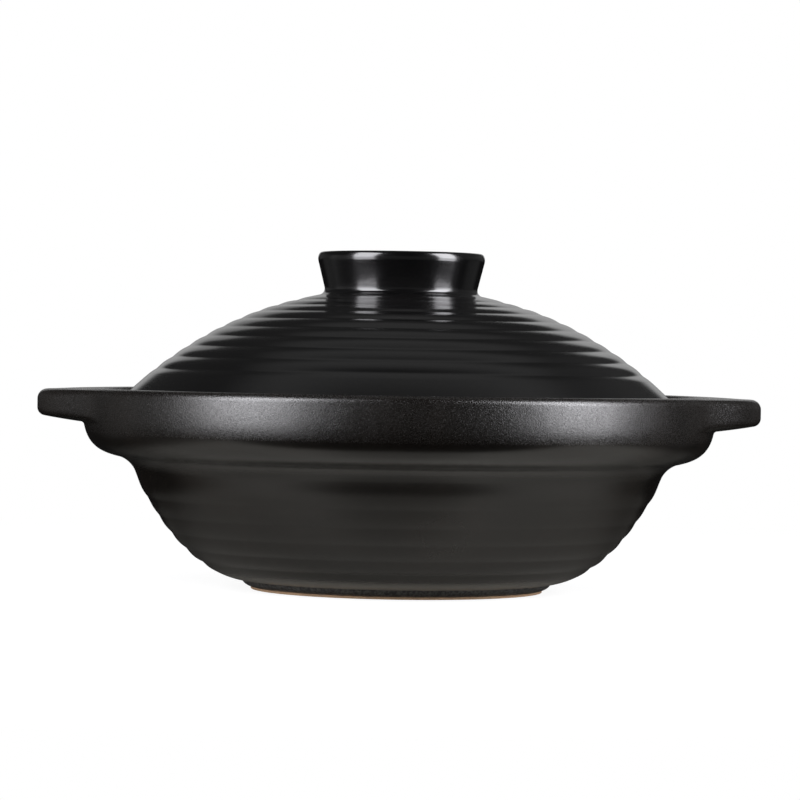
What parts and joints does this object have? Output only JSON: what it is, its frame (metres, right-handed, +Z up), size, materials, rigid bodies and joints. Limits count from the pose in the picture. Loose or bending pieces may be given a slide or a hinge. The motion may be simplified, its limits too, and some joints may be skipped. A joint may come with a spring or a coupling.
{
  "type": "clay casserole with lid",
  "caption": "Shallow round clay pot with a deep rim band, flat side lugs, a low foot and a ribbed dome lid with a hollow knob, for cooking on a stove and serving.",
  "frame": {"origin": "centre of the flat face that the foot stands on", "axes": "+X through the right lug, +Y away from the front, +Z up through the knob"},
  "size_m": [0.31, 0.2706, 0.1452],
  "materials": {
    "pot_glaze": "satin warm black glaze, finely speckled on the rim band",
    "lug_glaze": "satin brown black glaze, finely speckled",
    "lid_glaze": "satin black glaze over throwing rings",
    "knob_glaze": "semi-gloss black glaze",
    "bare_clay": "bare tan clay on the standing face, black glaze above it"
  },
  "bodies": {
    "pot": {"pot_bowl": "pot_glaze", "foot_ring": "bare_clay", "left_lug_handle": "lug_glaze", "right_lug_handle": "lug_glaze"},
    "lid": {"lid_dome": "lid_glaze", "lid_knob": "knob_glaze"}
  },
  "joints": [
    {"name": "lid_lift", "type": "slide", "parent": "pot", "child": "lid", "axis": [0, 0, 1], "range_m": [0, 0.15]}
  ]
}
